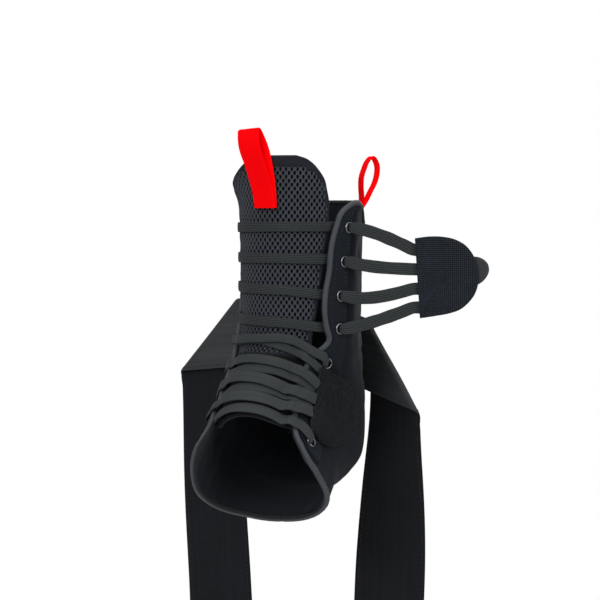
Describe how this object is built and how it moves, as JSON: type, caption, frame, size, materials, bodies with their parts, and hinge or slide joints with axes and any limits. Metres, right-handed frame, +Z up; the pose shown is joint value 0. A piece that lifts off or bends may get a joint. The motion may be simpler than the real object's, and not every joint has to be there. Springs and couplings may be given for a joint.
{
  "type": "lace-up ankle brace",
  "caption": "Wraparound fabric ankle brace with padded tongue, laced throat, open hook tab, red pull loops and two stabilising straps folded back and hanging",
  "frame": {"origin": "centre of the ankle joint, inside the boot, 105 mm below the collar", "axes": "+Z up the leg, -Y towards the toes, +X towards the outer (lateral) side of the left foot"},
  "size_m": [0.2379, 0.1534, 0.4589],
  "materials": {
    "fabric_black": "matte woven cloth",
    "binding_grey": "matte binding tape",
    "stay_navy": "matte brushed cloth",
    "mesh_charcoal": "open mesh cloth",
    "lace_charcoal": "ribbed flat lace",
    "webbing_red": "woven webbing",
    "eyelet_metal": "rolled metal",
    "strap_grey": "matte elastic strap",
    "pile_black": "looped pile",
    "grip_rubber": "matte rubber"
  },
  "bodies": {
    "root": {"back_seam_tape": "binding_grey", "lateral_binding": "binding_grey", "lateral_eyelet_lower_1": "eyelet_metal", "lateral_eyelet_lower_2": "eyelet_metal", "lateral_eyelet_lower_3": "eyelet_metal", "lateral_eyelet_lower_4": "eyelet_metal", "lateral_eyelet_upper_1": "eyelet_metal", "lateral_eyelet_upper_2": "eyelet_metal", "lateral_eyelet_upper_3": "eyelet_metal", "lateral_eyelet_upper_4": "eyelet_metal", "lateral_eyestay": "stay_navy", "lateral_quarter": "fabric_black", "lateral_strap": "strap_grey", "lateral_strap_hook_patch": "pile_black", "lower_lace_1_over": "lace_charcoal", "lower_lace_1_under": "lace_charcoal", "lower_lace_2_over": "lace_charcoal", "lower_lace_2_under": "lace_charcoal", "lower_lace_3_over": "lace_charcoal", "lower_lace_3_under": "lace_charcoal", "lower_lace_4_over": "lace_charcoal", "lower_lace_4_under": "lace_charcoal", "lower_tab": "pile_black", "medial_binding": "binding_grey", "medial_eyelet_lower_1": "eyelet_metal", "medial_eyelet_lower_2": "eyelet_metal", "medial_eyelet_lower_3": "eyelet_metal", "medial_eyelet_lower_4": "eyelet_metal", "medial_eyelet_upper_1": "eyelet_metal", "medial_eyelet_upper_2": "eyelet_metal", "medial_eyelet_upper_3": "eyelet_metal", "medial_eyelet_upper_4": "eyelet_metal", "medial_eyestay": "stay_navy", "medial_quarter": "fabric_black", "medial_strap": "strap_grey", "medial_strap_hook_patch": "pile_black", "rear_pull_loop": "webbing_red", "tongue": "stay_navy", "tongue_mesh": "mesh_charcoal", "tongue_pull_loop": "webbing_red", "upper_lace_1": "lace_charcoal", "upper_lace_2": "lace_charcoal", "upper_lace_3": "lace_charcoal", "upper_lace_4": "lace_charcoal", "upper_tab": "fabric_black", "upper_tab_grip": "grip_rubber"}
  },
  "joints": []
}
